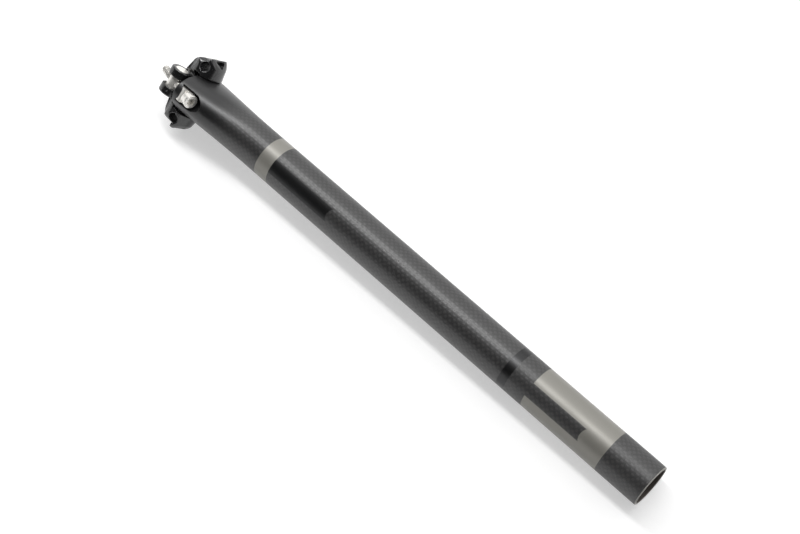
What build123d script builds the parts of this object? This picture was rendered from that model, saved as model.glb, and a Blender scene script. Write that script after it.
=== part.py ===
"""Bicycle seatpost with a two-bolt saddle clamp, lying at rest on a flat surface.

Every piece is drawn in the post's own frame: Z runs up the post from its lower end,
Y points to the front of the bicycle and X to its right side. The finished pieces are
then laid on the bench, where the post rests on the rim of its lower end, at the front of
its head and on the left ear of the clamp.
"""
import os
from math import atan2, cos, hypot, radians, sin

from build123d import *

os.makedirs("parts", exist_ok=True)

# Post: the outside diameter fits the frame's seat tube
post_diameter = 30.9
post_wall = 2.2
rail_height = 415.0  # lower end to the saddle rails, along the post
rim_chamfer = 0.5

# Head: moulded in one piece with the post
head_length = 62.0  # flare from the round post up to the rails
lug_reach = 25.2  # bolt lugs, from the post's axis to the front and to the rear
lug_rise = 2.0  # top of the lugs above the rails
lug_chamfer = 1.2
flare_sections = 6

# Saddle rails and the cradle that holds them
rail_diameter = 7.0
rail_spacing = 44.0
clamp_lean = 6.0  # degrees that the clamp leans forward from square to the post
half_gap = 0.3  # from the rails' middle plane to each half of the clamp
seat_radius = 11.0  # round bottom of the cradle, turning in the head's trough
seat_rise = 2.5  # axis of that round above the rails, on which the clamp tilts
ear_clearance = 0.3  # between the ears and the sides of the head

# Ears of the lower cradle, round about the tilt axis like its bottom
ear_root_radius = 12.2
ear_end_radius = 9.5
ear_end_slant = 38.0  # degrees that the end face leans inward, going down
ear_overhang = 4.0  # ears past the wings of the upper clamp
ear_chamfer = 1.4
ear_pocket_top = -2.0
ear_pocket_half_width = 6.0
ear_pocket_height = 6.8
ear_pocket_depth = 3.5
ear_pocket_round = 1.2

# Upper clamp: two wings over the rails, joined by a waisted bridge
wing_half_span = 26.5
wing_half_length = 11.5
wing_side_height = 5.5
wing_end_height = 5.0
wing_height = 11.9
bridge_height = 15.0
bridge_half_length = 7.5
bridge_crown_half_width = 8.0
waist_round = 4.0
waist_half_width = 14.0
wing_corner_round = 6.0
crest_round = 6.0

# Forks of the upper clamp, each with two prongs round a barrel nut
nut_diameter = 10.0
nut_half_length = 10.3
nut_inset = 12.2  # nut's axis inside the reach of the lugs
nut_height = 12.4  # nut's axis above the rails
nut_chamfer = 0.5
prong_wall = 2.6
prong_gap = 8.4
prong_chamfer = 0.6
fork_round = 3.0

# Clamp bolts, with the round-backed washers that they swing on
bolt_diameter = 6.0
bolt_core_diameter = 4.9  # at the bottom of the thread
bolt_length = 40.0  # under the head
bolt_head_diameter = 10.0
bolt_head_height = 6.0
bolt_chamfer = 0.4
hex_across_flats = 5.0
hex_depth = 3.0
bolt_toe_in = 19.0  # degrees that each bolt leans towards the other one, going up
washer_to_nut = 18.9  # from the axis of the washer's round back to the nut's axis
washer_radius = 5.2
washer_flat = 2.8  # from that axis to the flat under the bolt's head
washer_half_length = 4.9
washer_hole = 6.4

# Clearances and room for the clamp's tilt
running_fit = 0.05
bolt_hole_clearance = 0.3
bolt_swing_room = 0.5
pocket_clearance = 1.5
pocket_end_room = 1.2  # past the bolt's head
pocket_taper = 6.0
key_channel_diameter = 8.4

post_radius = post_diameter / 2
rail_radius = rail_diameter / 2
prong_radius = nut_diameter / 2 + running_fit + prong_wall
prong_floor = nut_height - prong_radius
pocket_radius = bolt_head_diameter / 2 + pocket_clearance
pocket_depth = washer_flat + bolt_head_height + pocket_end_room
trough_radius = seat_radius + running_fit
ear_root = post_radius + ear_clearance
ear_half_span = wing_half_span + ear_overhang
nut_reach = lug_reach - nut_inset
head_base = rail_height - head_length
cut_margin = 2.0  # how far a cut runs past the solid
roll_step = 1e-6  # radians, how closely the resting roll is found

# Middle of the clamp: X to the right, Y forward along the rails, Z away from the post
lean = radians(clamp_lean)
clamp = Plane((0, 0, rail_height), x_dir=(1, 0, 0), z_dir=(0, sin(lean), cos(lean)))
clamp_front = Plane(clamp.origin, x_dir=clamp.x_dir, z_dir=-clamp.y_dir)
clamp_side = Plane(clamp.origin, x_dir=clamp.y_dir, z_dir=clamp.x_dir)
tilt_front = Plane(clamp.offset(seat_rise).origin, x_dir=clamp.x_dir, z_dir=-clamp.y_dir)
clamp_up = Axis(clamp.origin, clamp.z_dir)
across = Axis(clamp.origin, clamp.x_dir)


def bolt_plane(end):
    """Plane through the axis of a washer's round, facing the nut; end is 1 in front, -1 behind."""
    toe_in = radians(bolt_toe_in)
    up = clamp.z_dir * cos(toe_in) - clamp.y_dir * (end * sin(toe_in))
    nut_centre = clamp.from_local_coords(Vector(0, end * nut_reach, nut_height))
    return Plane(nut_centre - up * washer_to_nut, x_dir=clamp.x_dir, z_dir=up)


def side_of(plane):
    """The plane through a bolt's middle that faces the right side of the bicycle."""
    return Plane(plane.origin, x_dir=plane.y_dir, z_dir=plane.x_dir)


def flare_plane(step):
    """Plane of one section of the head, leaning more towards the clamp the higher it is."""
    share = step / (flare_sections - 1)
    tilt = lean * share**2
    centre = (0, 0, head_base + head_length * share)
    return Plane(centre, x_dir=(1, 0, 0), z_dir=(0, sin(tilt), cos(tilt)))


def flare_reach(step):
    """Half length of one section of the head, leaving the post smoothly."""
    share = step / (flare_sections - 1)
    return post_radius + (lug_reach - post_radius) * share**2 * (3 - 2 * share)


ends = {"front": 1, "rear": -1}
bolts = {name: bolt_plane(end) for name, end in ends.items()}


def make_bolt_room(plane):
    """Space that a bolt takes up in the head, with room to swing and to reach its key."""
    with BuildPart() as room:
        # Scooped pocket for the bolt's head, running out into a channel for the key
        with BuildSketch(Plane(plane.origin, x_dir=plane.x_dir, z_dir=-plane.y_dir)):
            with BuildLine():
                Polyline(
                    (0, 0),
                    (pocket_radius, 0),
                    (pocket_radius, -pocket_depth),
                    (key_channel_diameter / 2, -pocket_depth - pocket_taper),
                    (key_channel_diameter / 2, -head_length),
                    (0, -head_length),
                    close=True,
                )
            make_face()
        revolve(axis=Axis(plane.origin, plane.z_dir))
        # Round seat of the washer
        with BuildSketch(side_of(plane)):
            Circle(washer_radius + running_fit)
        extrude(amount=pocket_radius, both=True)
        # Slot that lets the bolt swing with the clamp
        with BuildSketch(plane):
            SlotCenterToCenter(2 * bolt_swing_room, bolt_diameter + 2 * bolt_hole_clearance, rotation=90)
        extrude(amount=washer_to_nut)
    return room


# Post and head
with BuildPart() as post:
    with BuildSketch():
        Circle(post_radius)
        Circle(post_radius - post_wall, mode=Mode.SUBTRACT)
    extrude(amount=head_base)
    chamfer(post.edges().group_by(Axis.Z)[0], rim_chamfer)
    for step in range(flare_sections):
        with BuildSketch(flare_plane(step)):
            Ellipse(post_radius, flare_reach(step))
    loft()
    with BuildSketch(clamp):
        Ellipse(post_radius, lug_reach)
    extrude(amount=lug_rise)
    chamfer(post.faces().sort_by(clamp_up)[-1].edges(), lug_chamfer)
    # Trough for the cradle, open at both sides and at the top
    with BuildSketch(clamp_side):
        with Locations((0, seat_rise)):
            Circle(trough_radius)
            Rectangle(2 * trough_radius, trough_radius, align=(Align.CENTER, Align.MIN))
    extrude(amount=post_radius + cut_margin, both=True, mode=Mode.SUBTRACT)
    for plane in bolts.values():
        add(make_bolt_room(plane).part, mode=Mode.SUBTRACT)


# Lower cradle: round below about the tilt axis, with an ear under each rail
def ear_end_plane(side):
    """Plane of an ear's slanted end face; side is 1 on the right and -1 on the left."""
    slant = radians(ear_end_slant)
    top = clamp.from_local_coords(Vector(side * ear_half_span, 0, 0))
    facing = clamp.x_dir * (side * cos(slant)) - clamp.z_dir * sin(slant)
    return Plane(top, x_dir=clamp.y_dir * side, z_dir=facing)


with BuildPart() as lower_cradle:
    with BuildSketch(tilt_front):
        with BuildLine():
            Polyline(
                (0, 0),
                (ear_half_span, 0),
                (ear_half_span, -ear_end_radius),
                (ear_root, -ear_root_radius),
                (ear_root, -seat_radius),
                (0, -seat_radius),
                close=True,
            )
        make_face()
        mirror(about=Plane.YZ)
    revolve(axis=Axis(tilt_front.origin, clamp.x_dir))
    split(bisect_by=clamp.offset(-half_gap), keep=Keep.BOTTOM)
    for side in (1, -1):
        split(bisect_by=ear_end_plane(side), keep=Keep.BOTTOM)
        end_face = lower_cradle.faces().sort_by(across)[-1 if side == 1 else 0]
        chamfer(end_face.edges(), ear_chamfer)
    # Weight-saving pocket in the end of each ear
    for side in (1, -1):
        with BuildSketch(ear_end_plane(side)) as pocket:
            Polygon(
                (-ear_pocket_half_width, ear_pocket_top),
                (ear_pocket_half_width, ear_pocket_top),
                (0, ear_pocket_top - ear_pocket_height),
                align=None,
            )
            fillet(pocket.vertices(), ear_pocket_round)
        extrude(amount=ear_pocket_depth, dir=clamp.x_dir * -side, mode=Mode.SUBTRACT)
    with BuildSketch(clamp_front):
        with GridLocations(rail_spacing, 0, 2, 1):
            Circle(rail_radius)
    extrude(amount=ear_root_radius + cut_margin, both=True, mode=Mode.SUBTRACT)


# Upper clamp: wings over the rails, a waisted bridge and a fork at each end
def make_prong(side):
    """One pair of prongs with the web between them, on the right side for 1, left for -1."""
    with BuildPart() as prong:
        with BuildSketch(clamp_side.offset(side * prong_gap / 2)) as profile:
            with Locations((0, prong_floor)):
                Rectangle(2 * nut_reach, bridge_height - prong_floor, align=(Align.CENTER, Align.MIN))
            with Locations((nut_reach, nut_height), (-nut_reach, nut_height)):
                Circle(prong_radius)
            fillet(profile.vertices().filter_by_position(Axis.Y, bridge_height, bridge_height), fork_round)
        extrude(amount=side * (nut_half_length - prong_gap / 2))
        outer_face = prong.faces().sort_by(across)[-1 if side == 1 else 0]
        chamfer(outer_face.edges(), prong_chamfer)
    return prong


with BuildPart() as upper_clamp:
    with BuildSketch(clamp_front) as wings:
        with BuildLine():
            Polyline(
                (0, prong_floor),
                (ear_root, prong_floor),
                (ear_root, half_gap),
                (wing_half_span, half_gap),
                (wing_half_span, wing_side_height),
                (rail_spacing / 2, wing_height),
                (bridge_crown_half_width, bridge_height),
                (0, bridge_height),
                close=True,
            )
        make_face()
        mirror(about=Plane.YZ)
        for height in (wing_side_height, wing_height, bridge_height):
            fillet(wings.vertices().filter_by_position(Axis.Y, height, height), crest_round)
    extrude(amount=wing_half_length, both=True)
    # The wings are round seen from above, and narrow towards their crest seen from the side
    with BuildSketch(clamp):
        RectangleRounded(2 * wing_half_span, 2 * wing_half_length, wing_corner_round)
    extrude(amount=bridge_height, mode=Mode.INTERSECT)
    with BuildSketch(clamp_side) as crest:
        with BuildLine():
            Polyline(
                (0, 0),
                (wing_half_length, 0),
                (wing_half_length, wing_end_height),
                (bridge_half_length, bridge_height),
                (0, bridge_height),
                close=True,
            )
        make_face()
        mirror(about=Plane.YZ)
        fillet(crest.vertices().filter_by_position(Axis.Y, wing_end_height, wing_end_height), crest_round)
    extrude(amount=wing_half_span, both=True, mode=Mode.INTERSECT)
    # Waist between the wings, in front and behind
    with BuildSketch(clamp.offset(half_gap)):
        for end in ends.values():
            with Locations((0, end * (bridge_half_length + wing_half_length))):
                RectangleRounded(2 * waist_half_width, 2 * wing_half_length, waist_round)
    extrude(amount=bridge_height, mode=Mode.SUBTRACT)
    for side in (1, -1):
        add(make_prong(side).part)
    with BuildSketch(clamp_side):
        with Locations((nut_reach, nut_height), (-nut_reach, nut_height)):
            Circle(nut_diameter / 2 + running_fit)
    extrude(amount=wing_half_span, both=True, mode=Mode.SUBTRACT)
    with BuildSketch(clamp_front):
        with GridLocations(rail_spacing, 0, 2, 1):
            Circle(rail_radius)
    extrude(amount=wing_half_length + cut_margin, both=True, mode=Mode.SUBTRACT)

pieces = {"post": post, "lower_cradle": lower_cradle, "upper_clamp": upper_clamp}


# Clamp bolts, washers and barrel nuts
def make_bolt(plane):
    """Socket head bolt, standing on the washer's flat."""
    flat = plane.offset(-washer_flat)
    with BuildPart() as bolt:
        with BuildSketch(flat):
            Circle(bolt_head_diameter / 2)
        extrude(amount=-bolt_head_height)
        along = Axis(plane.origin, plane.z_dir)
        chamfer(bolt.edges().group_by(along)[0], bolt_chamfer)
        with BuildSketch(flat.offset(-bolt_head_height)):
            RegularPolygon(hex_across_flats / 2, 6, major_radius=False)
        extrude(amount=hex_depth, mode=Mode.SUBTRACT)
        with BuildSketch(flat):
            Circle(bolt_core_diameter / 2)
        extrude(amount=bolt_length)
        chamfer(bolt.edges().group_by(along)[-1], bolt_chamfer)
    return bolt


def make_washer(plane):
    """Washer that is round in the lug's seat and flat under the bolt's head."""
    with BuildPart() as washer:
        with BuildSketch(side_of(plane)):
            Circle(washer_radius)
            with Locations((0, -washer_flat)):
                Rectangle(
                    2 * washer_radius, washer_radius, align=(Align.CENTER, Align.MAX), mode=Mode.SUBTRACT
                )
        extrude(amount=washer_half_length, both=True)
        with BuildSketch(plane):
            Circle(washer_hole / 2)
        extrude(amount=washer_radius + cut_margin, both=True, mode=Mode.SUBTRACT)
    return washer


def make_nut(plane):
    """Barrel nut, lying across the fork with the bolt through its middle."""
    with BuildPart() as nut:
        with BuildSketch(side_of(plane.offset(washer_to_nut))):
            Circle(nut_diameter / 2)
        extrude(amount=nut_half_length, both=True)
        chamfer(nut.edges(), nut_chamfer)
        with BuildSketch(plane.offset(washer_to_nut)):
            Circle(bolt_diameter / 2)
        extrude(amount=nut_diameter, both=True, mode=Mode.SUBTRACT)
    return nut


for name, plane in bolts.items():
    pieces[f"{name}_bolt"] = make_bolt(plane)
    pieces[f"{name}_washer"] = make_washer(plane)
    pieces[f"{name}_nut"] = make_nut(plane)


# Lying at rest on the lower rim, on the lug or fork in front, and on the left ear
def way_down(roll):
    """Direction to the bench, with the lower rim and the front of the head on it at a given roll."""
    lug_drop = hypot(post_radius * sin(roll), lug_reach * cos(roll))
    lug_pitch = atan2(lug_drop - post_radius, rail_height)
    fork = clamp.from_local_coords(Vector(0, nut_reach, nut_height))
    fork_drop = (fork.Y + prong_radius) * cos(roll) + (nut_half_length - prong_chamfer) * sin(roll)
    pitch = max(lug_pitch, atan2(fork_drop - post_radius, fork.Z))
    return Vector(-sin(roll) * cos(pitch), cos(roll) * cos(pitch), -sin(pitch))


cradle_corners = [vertex.center() for vertex in lower_cradle.vertices()]
roll_low = 0.0
roll_high = radians(60)
while roll_high - roll_low > roll_step:
    roll = (roll_low + roll_high) / 2
    if max(corner.dot(way_down(roll)) for corner in cradle_corners) > post_radius:
        roll_high = roll
    else:
        roll_low = roll

up = -way_down(roll_low)
bench = Plane((0, 0, 0), x_dir=Vector(0, 0, 1) - up * up.Z, z_dir=up)
resting = {name: bench.to_local_coords(builder.part) for name, builder in pieces.items()}
room = resting["post"].bounding_box()
for piece in resting.values():
    room = room.add(piece.bounding_box())
to_origin = Location((-room.center().X, -room.center().Y, -room.min.Z))

for name, piece in resting.items():
    laid = piece.moved(to_origin)
    laid.label = name
    export_step(laid, f"parts/{name}.step")
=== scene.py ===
from math import cos, pi, radians, sin, tau

import bmesh
import bpy
from mathutils import Matrix, Vector


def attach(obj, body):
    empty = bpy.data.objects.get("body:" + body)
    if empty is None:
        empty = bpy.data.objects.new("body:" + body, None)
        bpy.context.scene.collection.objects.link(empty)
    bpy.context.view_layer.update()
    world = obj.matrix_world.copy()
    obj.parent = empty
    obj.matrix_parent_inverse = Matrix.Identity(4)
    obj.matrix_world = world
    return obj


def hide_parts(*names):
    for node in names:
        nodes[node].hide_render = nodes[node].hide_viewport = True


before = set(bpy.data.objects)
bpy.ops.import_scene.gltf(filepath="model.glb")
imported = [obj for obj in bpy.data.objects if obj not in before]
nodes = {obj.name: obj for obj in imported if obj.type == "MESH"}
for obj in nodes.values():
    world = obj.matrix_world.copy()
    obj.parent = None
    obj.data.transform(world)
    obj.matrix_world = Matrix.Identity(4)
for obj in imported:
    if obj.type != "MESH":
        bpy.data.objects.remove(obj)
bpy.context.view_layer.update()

MM_IN_METRE = 1000
WHITE = (1.0, 1.0, 1.0, 1.0)

# The post in the row frame: middle of its lower end, and its right, front and upward directions
POST_END = Vector((-0.2228404, -0.0000170, 0.0154500))
POST_RIGHT = Vector((-0.0104420, -0.8393144, 0.5435460))
POST_FRONT = Vector((0.0161210, -0.5436463, -0.8391596))
POST_UP = Vector((0.9998155, 0.0, 0.0192073))
POST_RADIUS_MM = 15.45
POST_BORE_MM = 13.25

# The clamp and its bolts, in metres
RAIL_HEIGHT = 0.415
CLAMP_LEAN = radians(6)
NUT_REACH = 0.013
NUT_HEIGHT = 0.0124
WASHER_TO_NUT = 0.0189
BOLT_TOE_IN = radians(19)

CLAMP_MIDDLE = POST_END + POST_UP * RAIL_HEIGHT
CLAMP_UP = POST_UP * cos(CLAMP_LEAN) + POST_FRONT * sin(CLAMP_LEAN)
CLAMP_FRONT = POST_FRONT * cos(CLAMP_LEAN) - POST_UP * sin(CLAMP_LEAN)


def bolt_frame(end):
    """Where a bolt stands on its washer, with Z along the bolt; end is 1 in front and -1 behind."""
    along = CLAMP_UP * cos(BOLT_TOE_IN) - CLAMP_FRONT * (end * sin(BOLT_TOE_IN))
    nut = CLAMP_MIDDLE + CLAMP_FRONT * (end * NUT_REACH) + CLAMP_UP * NUT_HEIGHT
    side = along.cross(POST_RIGHT)
    turned = Matrix((POST_RIGHT, side, along)).transposed().to_4x4()
    return Matrix.Translation(nut - along * WASHER_TO_NUT) @ turned


BOLTS = {"front": bolt_frame(1), "rear": bolt_frame(-1)}


class Graph:
    """The nodes of one material or of the room, written as sums."""

    def __init__(self, owner, shader="Principled BSDF"):
        owner.use_nodes = True
        self.owner = owner
        self.tree = owner.node_tree
        self.shader = self.tree.nodes[shader]

    def feed(self, socket, value):
        """Links a socket to another node's output, or gives it a plain value."""
        if isinstance(value, bpy.types.NodeSocket):
            self.tree.links.new(value, socket)
        else:
            socket.default_value = value

    def node(self, kind, inputs=(), **settings):
        """A new node with these settings and these inputs, by name or number."""
        made = self.tree.nodes.new(kind)
        for key, value in settings.items():
            setattr(made, key, value)
        for key, value in dict(inputs).items():
            self.feed(made.inputs[key], value)
        return made

    def math(self, operation, *values):
        return self.node("ShaderNodeMath", enumerate(values), operation=operation).outputs[0]

    def times(self, a, b):
        return self.math("MULTIPLY", a, b)

    def plus(self, a, b):
        return self.math("ADD", a, b)

    def minus(self, a, b):
        return self.math("SUBTRACT", a, b)

    def larger(self, a, b):
        return self.math("MAXIMUM", a, b)

    def vector(self, operation, *values, output="Vector"):
        made = self.node("ShaderNodeVectorMath", enumerate(values), operation=operation)
        return made.outputs[output]

    def dot(self, a, b):
        return self.vector("DOT_PRODUCT", a, b, output="Value")

    def reach(self, x, y):
        """How far a point is from the axis on which both x and y are 0."""
        return self.math("SQRT", self.plus(self.times(x, x), self.times(y, y)))

    def step(self, value, low, high):
        """Rises smoothly from 0 at low to 1 at high."""
        inputs = {"Value": value, "From Min": low, "From Max": high}
        return self.node("ShaderNodeMapRange", inputs, interpolation_type="SMOOTHSTEP").outputs[0]

    def span(self, value, low, high, soft):
        """1 between low and high, 0 outside, with edges as wide as soft."""
        rise = self.step(value, low - soft / 2, low + soft / 2)
        fall = self.step(value, high + soft / 2, high - soft / 2)
        return self.times(rise, fall)

    def mix(self, share, a, b):
        """A colour that goes from a to b as share goes from 0 to 1."""
        inputs = {0: share, 6: a, 7: b}
        return self.node("ShaderNodeMix", inputs, data_type="RGBA").outputs[2]

    def blend(self, share, a, b):
        """A number that goes from a to b as share goes from 0 to 1."""
        inputs = {0: share, 2: a, 3: b}
        return self.node("ShaderNodeMix", inputs, data_type="FLOAT").outputs[0]

    def noise(self, place, scale, detail, roughness):
        inputs = {"Vector": place, "Scale": scale, "Detail": detail, "Roughness": roughness}
        return self.node("ShaderNodeTexNoise", inputs).outputs[0]

    def join(self, x, y, z):
        return self.node("ShaderNodeCombineXYZ", {0: x, 1: y, 2: z}).outputs[0]

    def bump(self, height, distance, normal=None):
        """A normal tilted by a height from 0 to 1 that stands for a distance in metres."""
        inputs = {"Height": height, "Distance": distance, "Strength": 1.0}
        if normal is not None:
            inputs["Normal"] = normal
        return self.node("ShaderNodeBump", inputs).outputs[0]

    def place(self):
        """Where a point is in its piece, in metres, at rest in the row frame."""
        return self.node("ShaderNodeTexCoord").outputs["Object"]

    def local(self, origin, right, front, up):
        """Where a point is along three directions from an origin, in millimetres."""
        away = self.vector("SUBTRACT", self.place(), tuple(origin))
        return [self.dot(away, tuple(axis * MM_IN_METRE)) for axis in (right, front, up)]

    def set(self, **values):
        """Feeds the shader's own sockets, named with underscores for spaces."""
        for key, value in values.items():
            self.feed(self.shader.inputs[key.replace("_", " ")], value)


def add_object(name, data):
    """A new object with this data, in the scene."""
    made = bpy.data.objects.new(name, data)
    bpy.context.scene.collection.objects.link(made)
    return made


# Printed fields of the post, in millimetres up from its lower end and around from its rear
FIELD_LOW = 33.2
FIELD_HIGH = 96.2
STRIPE_MIDDLE = 0.8
STRIPE_HALF = 5.1
FIELD_ARC_HEIGHT = 44.0
FIELD_ARC_RADIUS = 9.0
RING_LOW = 111.1
RING_HIGH = 117.6
UPPER_ARC_HEIGHT = 269.7
UPPER_ARC_RADIUS = 8.0
COLLAR_LOW = 330.5
COLLAR_HIGH = 342.0
PRINT_EDGE = 0.25

# Other zones of the post, in millimetres up from its lower end and out from its axis: the part that
# the frame holds is duller, the weave fades out, the coat's reflection is darkened up the head as
# painted shade, the cut end is painted pale for its sanded edge and as a painted glint, and the bore
# is bare
HELD_TOP = 111.0
WEAVE_FADE = (358.0, 394.0)
HEAD_PAINTED_SHADE = (366.0, 392.0)
RIM_FADE = (0.75, 0.35)
BORE_FADE = (POST_BORE_MM + 0.7, POST_BORE_MM + 0.4)

# Plain weave: tows around the post, their width in millimetres, how far the tone of the tows that
# run around goes, the share of a tow that its rounded edge takes, and the fine fibres in each tow
TOWS_AROUND = 48
TOW_WIDTH = 2.1
AROUND_TONE = 0.48
TOW_EDGE = 0.42
EDGE_TONES = (0.6, 1.0)
FIBRES_ACROSS = 9.0
FIBRES_ALONG = 0.5
FIBRE_SHIFT = 3.0
FIBRE_NOISE = (1.0, 2.0, 0.5)
FIBRE_TONES = (0.75, 1.25)
FIBRE_RELIEF = 0.35

# Colours of the post, the dark one first
WEAVE_COLOURS = ((0.002, 0.002, 0.002, 1.0), (0.034, 0.033, 0.033, 1.0))
TAUPE_COLOURS = ((0.206, 0.199, 0.177, 1.0), (0.270, 0.261, 0.234, 1.0))
HEAD_COLOURS = ((0.010, 0.010, 0.0105, 1.0), (0.018, 0.018, 0.0185, 1.0))
BORE_COLOURS = ((0.032, 0.026, 0.021, 1.0), (0.110, 0.090, 0.073, 1.0))
RIM_AND_GLINT_COLOURS = ((0.26, 0.25, 0.23, 1.0), (0.46, 0.45, 0.41, 1.0))
BAND_COLOUR = (0.052, 0.052, 0.053, 1.0)

# Roughness of the post, the smooth end first
WEAVE_ROUGH = (0.40, 0.48)
HELD_ROUGHER = 0.06
PAINT_ROUGH = (0.40, 0.48)
BAND_ROUGH = (0.34, 0.40)
HEAD_ROUGH = (0.32, 0.40)
BORE_ROUGH = 0.75
RIM_ROUGH = 0.6

# Shine of the coat: a metallic share weakens or tints the reflection where the base colour is
# dark or taupe
COAT_METALLIC = 0.32
COAT_SPECULAR = 0.85

# Unevenness of the post: noise as scale, detail and roughness, and depths in metres
FINE_NOISE = (2600.0, 3.0, 0.6)
BROAD_NOISE = (55.0, 3.0, 0.55)
BORE_NOISE = (420.0, 4.0, 0.7)
WEAVE_DEPTH = 0.00004
FINE_DEPTH = 0.000006
BORE_DEPTH = 0.0004
EDGE_RADIUS = 0.0007
EDGE_SAMPLES = 6


def make_weave(g, angle, height):
    """Tows around and along the post, each over one and under one: tone, crown and relief."""
    tow_u = g.times(angle, TOWS_AROUND / tau)
    tow_v = g.math("DIVIDE", height, TOW_WIDTH)
    cells = g.plus(g.math("FLOOR", tow_u), g.math("FLOOR", tow_v))
    lengthwise = g.math("LESS_THAN", g.math("FLOORED_MODULO", cells, 2.0), 0.5)
    across_u = g.math("PINGPONG", tow_u, 0.5)
    across_v = g.math("PINGPONG", tow_v, 0.5)
    crown = g.step(g.blend(lengthwise, across_v, across_u), 0.0, TOW_EDGE)
    place_u = g.join(g.times(tow_u, FIBRES_ACROSS), g.times(tow_v, FIBRES_ALONG), 0.0)
    place_v = g.join(g.times(tow_u, FIBRES_ALONG), g.times(tow_v, FIBRES_ACROSS), FIBRE_SHIFT)
    fibre_u = g.noise(place_u, *FIBRE_NOISE)
    fibre_v = g.noise(place_v, *FIBRE_NOISE)
    fibre = g.blend(lengthwise, fibre_v, fibre_u)
    tone = g.times(g.blend(lengthwise, AROUND_TONE, 1.0), g.blend(fibre, *FIBRE_TONES))
    tone = g.times(tone, g.blend(crown, *EDGE_TONES))
    relief = g.plus(crown, g.times(fibre, FIBRE_RELIEF))
    return tone, crown, relief


def make_print(g, around, height):
    """Where the taupe paint and the smooth black bands lie, as shares from 0 to 1."""
    stripe = g.span(around, STRIPE_MIDDLE - STRIPE_HALF, STRIPE_MIDDLE + STRIPE_HALF, PRINT_EDGE)
    off_middle = g.minus(around, STRIPE_MIDDLE)
    off_squared = g.times(off_middle, off_middle)

    def above_arc(arc_height, arc_radius):
        rise = g.math("SQRT", g.minus(arc_radius * arc_radius, off_squared))
        over = g.minus(height, g.plus(rise, arc_height))
        return g.step(over, -PRINT_EDGE / 2, PRINT_EDGE / 2)

    field = g.span(height, FIELD_LOW, FIELD_HIGH, PRINT_EDGE)
    cut = g.times(stripe, above_arc(FIELD_ARC_HEIGHT, FIELD_ARC_RADIUS))
    field = g.times(field, g.minus(1.0, cut))
    collar = g.span(height, COLLAR_LOW, COLLAR_HIGH, PRINT_EDGE)
    ring = g.span(height, RING_LOW, RING_HIGH, PRINT_EDGE)
    upper = g.times(stripe, above_arc(UPPER_ARC_HEIGHT, UPPER_ARC_RADIUS))
    upper = g.times(upper, g.step(height, COLLAR_LOW + PRINT_EDGE, COLLAR_LOW))
    return g.larger(field, collar), g.larger(ring, upper)


def make_carbon():
    """Woven carbon with taupe fields and black bands, whose weave fades into a smooth black head."""
    g = Graph(bpy.data.materials.new("carbon"))
    right, front, height = g.local(POST_END, POST_RIGHT, POST_FRONT, POST_UP)
    angle = g.math("ARCTAN2", right, g.times(front, -1.0))
    tone, crown, relief = make_weave(g, angle, height)
    paint, bands = make_print(g, g.times(angle, POST_RADIUS_MM), height)
    head = g.step(height, *WEAVE_FADE)
    # Painted shade: up the head the coat's reflection is darkened, for the dark clamp that it faces
    painted_head_shade = g.step(height, *HEAD_PAINTED_SHADE)
    held = g.step(height, HELD_TOP, HELD_TOP - PRINT_EDGE)
    inside = g.step(g.reach(right, front), *BORE_FADE)
    # Painted glint: the cut end is painted pale, both for its sanded edge and for the light that it
    # catches
    rim = g.times(g.step(height, *RIM_FADE), g.minus(1.0, inside))
    fine = g.noise(g.place(), *FINE_NOISE)
    broad = g.noise(g.place(), *BROAD_NOISE)
    lumps = g.noise(g.place(), *BORE_NOISE)

    colour = g.mix(paint, g.mix(tone, *WEAVE_COLOURS), g.mix(fine, *TAUPE_COLOURS))
    colour = g.mix(bands, colour, BAND_COLOUR)
    colour = g.mix(head, colour, g.mix(broad, *HEAD_COLOURS))
    colour = g.mix(inside, colour, g.mix(lumps, *BORE_COLOURS))
    colour = g.mix(rim, colour, g.mix(fine, *RIM_AND_GLINT_COLOURS))

    rough = g.blend(g.times(fine, crown), *WEAVE_ROUGH)
    rough = g.plus(rough, g.times(held, HELD_ROUGHER))
    rough = g.blend(paint, rough, g.blend(broad, *PAINT_ROUGH))
    rough = g.blend(bands, rough, g.blend(broad, *BAND_ROUGH))
    rough = g.blend(head, rough, g.blend(fine, *HEAD_ROUGH))
    rough = g.blend(inside, rough, BORE_ROUGH)
    rough = g.blend(rim, rough, RIM_ROUGH)

    smooth = g.larger(g.larger(paint, bands), g.larger(head, inside))
    normal = g.node("ShaderNodeBevel", {"Radius": EDGE_RADIUS}, samples=EDGE_SAMPLES).outputs[0]
    normal = g.bump(g.times(relief, g.minus(1.0, smooth)), WEAVE_DEPTH, normal)
    normal = g.bump(fine, FINE_DEPTH, normal)
    normal = g.bump(g.times(broad, inside), BORE_DEPTH, normal)
    # The head's metallic share is painted shade that darkens its reflection near the clamp
    metallic = g.plus(g.times(g.larger(paint, painted_head_shade), COAT_METALLIC), bands)
    g.set(Base_Color=colour, Roughness=rough, Normal=normal, Metallic=metallic)
    g.set(Specular_IOR_Level=COAT_SPECULAR)
    return g.owner


# Black of the clamp: noise as scale, detail and roughness, the pointiness of an edge that is painted
# pale, as rubbed wear and as a painted edge highlight, the clouds in which it is pale, colours, the
# dark one first, and a depth in metres
CLAMP_GRAIN = (5200.0, 3.0, 0.6)
CLAMP_CLOUDS = (130.0, 3.0, 0.55)
WEAR_AND_GLINT_EDGE = (0.515, 0.56)
WEAR_AND_GLINT_CLOUD = (0.30, 0.60)
WEAR_AND_GLINT_SHARE = 0.65
WEAR_AND_GLINT_COLOUR = (0.22, 0.22, 0.225, 1.0)
CLAMP_COLOURS = ((0.004, 0.004, 0.0045, 1.0), (0.008, 0.008, 0.0085, 1.0))
CLAMP_ROUGH = (0.20, 0.28)
CLAMP_SPECULAR = 0.9
CLAMP_DEPTH = 0.000008


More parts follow.
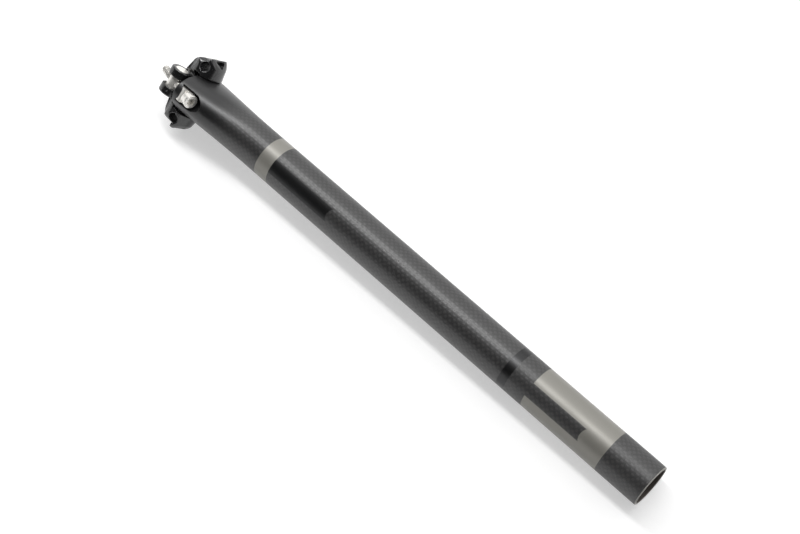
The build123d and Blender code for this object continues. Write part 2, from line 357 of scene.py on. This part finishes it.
def make_clamp_black():
    """Forged alloy, shot-blasted and anodised black, pale on its edges as rubbed wear and as a
    painted highlight.
    """
    g = Graph(bpy.data.materials.new("clamp_black"))
    grain = g.noise(g.place(), *CLAMP_GRAIN)
    cloud = g.noise(g.place(), *CLAMP_CLOUDS)
    # Pale edges: partly rubbed wear, partly a painted edge highlight
    edge = g.step(g.node("ShaderNodeNewGeometry").outputs["Pointiness"], *WEAR_AND_GLINT_EDGE)
    wear_and_glint = g.times(edge, g.step(cloud, *WEAR_AND_GLINT_CLOUD))
    colour = g.mix(g.times(wear_and_glint, WEAR_AND_GLINT_SHARE), g.mix(cloud, *CLAMP_COLOURS), WEAR_AND_GLINT_COLOUR)
    rough = g.blend(grain, *CLAMP_ROUGH)
    normal = g.bump(grain, CLAMP_DEPTH)
    g.set(Base_Color=colour, Roughness=rough, Normal=normal, Specular_IOR_Level=CLAMP_SPECULAR)
    return g.owner


# Bright metal: colours, the dark one first, noise as scale, detail and roughness, scratches per
# millimetre along three directions, and depths in metres
METAL_COLOURS = ((0.84, 0.82, 0.775, 1.0), (0.97, 0.955, 0.92, 1.0))
METAL_SHARE = 0.7
RING_NOISE = (1.0, 3.0, 0.7)
CLOUD_NOISE = (240.0, 3.0, 0.6)
SCRATCH_NOISE = (1.0, 4.0, 0.65)
SCRATCHES = (1.3, 16.0, 4.0)
RING_DEPTH = 0.000012
SCRATCH_DEPTH = 0.000006

# Roughness of each kind of metal piece, the smooth end first, and its tool rings per millimetre
BOLT_FINISH = ((0.22, 0.40), 9.0)
WASHER_FINISH = ((0.34, 0.54), 5.0)
NUT_FINISH = ((0.30, 0.54), 8.0)


def make_metal(name, finish, axes):
    """Turned bright metal with fine tool rings about the last axis, small scratches and dulling."""
    g = Graph(bpy.data.materials.new(name))
    roughness, rings_per_mm = finish
    x, y, z = g.local(*axes)
    ring_place = g.join(g.times(g.reach(x, y), rings_per_mm), g.times(z, rings_per_mm), 0.0)
    rings = g.noise(ring_place, *RING_NOISE)
    cloud = g.noise(g.place(), *CLOUD_NOISE)
    scratch_place = g.join(*(g.times(value, count) for value, count in zip((x, y, z), SCRATCHES)))
    scratch = g.noise(scratch_place, *SCRATCH_NOISE)
    colour = g.mix(g.times(cloud, scratch), *METAL_COLOURS)
    rough = g.blend(g.times(rings, cloud), *roughness)
    normal = g.bump(rings, RING_DEPTH)
    normal = g.bump(scratch, SCRATCH_DEPTH, normal)
    g.set(Base_Color=colour, Roughness=rough, Normal=normal, Metallic=METAL_SHARE)
    return g.owner


def dress(name, material):
    """Gives a CAD node its material."""
    nodes[name].data.materials.clear()
    nodes[name].data.materials.append(material)


# Forged halves of the clamp: the grid in metres on which they are meshed, and how they are rounded
FORGED_GRID = 0.00030
FORGED_ROUNDS = 14
FORGED_FACTOR = 0.5


def make_forged(name, material):
    """The clamp half with its edges rounded, as dense smooth mesh in the node's own place."""
    forged = add_object(f"{name}_forged", nodes[name].data.copy())
    grid = forged.modifiers.new("grid", "REMESH")
    grid.mode = "VOXEL"
    grid.voxel_size = FORGED_GRID
    rounding = forged.modifiers.new("rounding", "SMOOTH")
    rounding.factor = FORGED_FACTOR
    rounding.iterations = FORGED_ROUNDS
    graph = bpy.context.evaluated_depsgraph_get()
    rounded = bpy.data.meshes.new_from_object(forged.evaluated_get(graph))
    forged.modifiers.clear()
    forged.data = rounded
    rounded.polygons.foreach_set("use_smooth", [True] * len(rounded.polygons))
    rounded.materials.clear()
    rounded.materials.append(material)
    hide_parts(name)
    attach(forged, "clamp")


clamp_black = make_clamp_black()
dress("post", make_carbon())
make_forged("lower_cradle", clamp_black)
make_forged("upper_clamp", clamp_black)

# Thread of each bolt, a helix on the bolt's core, in metres; the half widths of its profile are
# shares of the pitch
THREAD_PITCH = 0.0010
THREAD_ROOT = 0.00240
THREAD_CREST = 0.00292
THREAD_ROOT_HALF = 0.48
THREAD_CREST_HALF = 0.09
THREAD_START = 0.0056
THREAD_END = 0.0366
THREAD_STEPS = 40
THREAD_PROFILE = (
    (THREAD_ROOT, -THREAD_ROOT_HALF),
    (THREAD_CREST, -THREAD_CREST_HALF),
    (THREAD_CREST, THREAD_CREST_HALF),
    (THREAD_ROOT, THREAD_ROOT_HALF),
)


def make_thread(end, matrix):
    """A bolt's thread, which rises from the core over its first turn and sinks over its last."""
    made = bmesh.new()
    count = int((THREAD_END - THREAD_START) / THREAD_PITCH * THREAD_STEPS)
    last = None
    for index in range(count + 1):
        angle = tau * index / THREAD_STEPS
        share = min(1.0, index / THREAD_STEPS, (count - index) / THREAD_STEPS)
        row = []
        for full_radius, offset in THREAD_PROFILE:
            radius = THREAD_ROOT + (full_radius - THREAD_ROOT) * share
            z = THREAD_START + THREAD_PITCH * (index / THREAD_STEPS + offset)
            row.append(made.verts.new((radius * cos(angle), radius * sin(angle), z)))
        if last:
            for side in range(len(row) - 1):
                made.faces.new((last[side], row[side], row[side + 1], last[side + 1]))
        last = row
    bmesh.ops.recalc_face_normals(made, faces=made.faces)
    mesh = bpy.data.meshes.new(f"{end}_bolt_thread")
    made.to_mesh(mesh)
    made.free()
    mesh.transform(matrix)
    return add_object(f"{end}_bolt_thread", mesh)


for end, matrix in BOLTS.items():
    origin = matrix.translation
    right, side, along = (column.xyz for column in matrix.col[:3])
    upright = (origin, right, side, along)
    crosswise = (origin + along * WASHER_TO_NUT, side, along, right)
    steel = make_metal(f"steel_{end}", BOLT_FINISH, upright)
    dress(f"{end}_bolt", steel)
    dress(f"{end}_washer", make_metal(f"washer_silver_{end}", WASHER_FINISH, crosswise))
    dress(f"{end}_nut", make_metal(f"nut_silver_{end}", NUT_FINISH, crosswise))
    thread = make_thread(end, matrix)
    thread.data.materials.append(steel)
    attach(thread, f"{end}_bolt")


# Pale table that curves up far away, in metres
FLOOR_RADIUS = 2.6
FLOOR_CURVE = 0.9
FLOOR_WALL = 0.2
FLOOR_CURVE_STEPS = 12
FLOOR_TURN_STEPS = 96
FLOOR_WELD = 1e-5
FLOOR_COLOURS = ((0.58, 0.58, 0.58, 1.0), (0.62, 0.62, 0.62, 1.0))
FLOOR_ROUGH = 0.85
FLOOR_GRAIN = (900.0, 3.0, 0.6)

# The table's own glow, near and far, which keeps it white to the eye, and where it goes from one to
# the other
GLOW = (0.50, 0.70)
GLOW_DISTANCES = (0.9, 2.6)


def make_table_white():
    """Pale grained paint, whose glow is seen but lights nothing."""
    g = Graph(bpy.data.materials.new("table"))
    path = g.node("ShaderNodeLightPath")
    seen = g.larger(path.outputs["Is Camera Ray"], path.outputs["Is Glossy Ray"])
    seen = g.larger(seen, path.outputs["Is Transmission Ray"])
    grain = g.noise(g.place(), *FLOOR_GRAIN)
    far = g.step(g.vector("LENGTH", g.place(), output="Value"), *GLOW_DISTANCES)
    glow = g.times(seen, g.blend(far, *GLOW))
    g.set(Base_Color=g.mix(grain, *FLOOR_COLOURS), Roughness=FLOOR_ROUGH)
    g.set(Emission_Color=WHITE, Emission_Strength=glow)
    return g.owner


def make_floor():
    """The table, turned from one line: flat, then a quarter circle, then a low wall."""
    line = [(0.0, 0.0), (FLOOR_RADIUS, 0.0)]
    for index in range(1, FLOOR_CURVE_STEPS + 1):
        turn = pi / 2 * index / FLOOR_CURVE_STEPS
        line.append((FLOOR_RADIUS + FLOOR_CURVE * sin(turn), FLOOR_CURVE * (1 - cos(turn))))
    line.append((FLOOR_RADIUS + FLOOR_CURVE, FLOOR_CURVE + FLOOR_WALL))
    made = bmesh.new()
    points = [made.verts.new((x, 0.0, z)) for x, z in line]
    edges = [made.edges.new(pair) for pair in zip(points, points[1:])]
    bmesh.ops.spin(
        made,
        geom=points + edges,
        cent=(0, 0, 0),
        axis=(0, 0, 1),
        angle=tau,
        steps=FLOOR_TURN_STEPS,
    )
    bmesh.ops.remove_doubles(made, verts=made.verts, dist=FLOOR_WELD)
    bmesh.ops.recalc_face_normals(made, faces=made.faces)
    mesh = bpy.data.meshes.new("table")
    made.to_mesh(mesh)
    made.free()
    mesh.polygons.foreach_set("use_smooth", [True] * len(mesh.polygons))
    mesh.materials.append(make_table_white())
    add_object("table", mesh)


make_floor()

# Light: a long strip lamp above, parallel to the post, in metres
STRIP_PLACE = Vector((0.75, -0.375, 1.392))
STRIP_AIM = Vector((0.75, 0.0, 0.0))
STRIP_LENGTH = 2.1
STRIP_WIDTH = 0.21
STRIP_RADIANCE = 14.0


def make_strip():
    lamp = bpy.data.lights.new("strip", "AREA")
    lamp.shape = "RECTANGLE"
    lamp.size = STRIP_LENGTH
    lamp.size_y = STRIP_WIDTH
    lamp.energy = STRIP_RADIANCE * pi * STRIP_LENGTH * STRIP_WIDTH
    strip = add_object("strip", lamp)
    strip.location = STRIP_PLACE
    strip.rotation_euler = (STRIP_AIM - STRIP_PLACE).to_track_quat("-Z", "Y").to_euler()


make_strip()

# Light of the room: a broad window low on one side and a soft patch of ceiling; the fades are
# heights and sides of a direction, from -1 to 1
ROOM_LIGHT = 0.05
WINDOW_LIGHT = 1.50
WINDOW_FROM = (0.0, -1.0, 0.0)
WINDOW_SIDE_FADE = (0.0, 0.6)
WINDOW_TOP_FADE = (0.75, 0.45)
CEILING_LIGHT = 1.5
CEILING_LEAN = radians(25)
CEILING_FROM = (0.0, -sin(CEILING_LEAN), cos(CEILING_LEAN))
CEILING_SPREAD = radians(38)
UPWARD = (0.0, 0.0, 1.0)


def make_room():
    room = bpy.data.worlds.new("room")
    g = Graph(room, "Background")
    towards = g.node("ShaderNodeTexCoord").outputs["Generated"]
    sideways = g.step(g.dot(towards, WINDOW_FROM), *WINDOW_SIDE_FADE)
    low = g.step(g.dot(towards, UPWARD), *WINDOW_TOP_FADE)
    strength = g.blend(g.times(sideways, low), ROOM_LIGHT, WINDOW_LIGHT)
    ceiling = g.step(g.dot(towards, CEILING_FROM), cos(CEILING_SPREAD), 1.0)
    strength = g.plus(strength, g.times(ceiling, CEILING_LIGHT))
    g.set(Color=WHITE, Strength=strength)
    bpy.context.scene.world = room


make_room()

# Camera, as the photograph was taken: its place in metres, its directions and its focal length
CAMERA_PLACE = Vector((-0.358316, 0.254916, 1.040698))
CAMERA_RIGHT = Vector((-0.719440, -0.690300, -0.076762))
CAMERA_UP = Vector((0.616858, -0.685838, 0.386150))
CAMERA_BACK = Vector((-0.319205, 0.230460, 0.919237))
CAMERA_FOCAL_MM = 75.03

lens = bpy.data.cameras.new("camera")
lens.lens = CAMERA_FOCAL_MM
camera = add_object("camera", lens)
camera_turned = Matrix((CAMERA_RIGHT, CAMERA_UP, CAMERA_BACK)).transposed().to_4x4()
camera.matrix_world = Matrix.Translation(CAMERA_PLACE) @ camera_turned
bpy.context.scene.camera = camera
bpy.context.scene.view_settings.view_transform = "Standard"
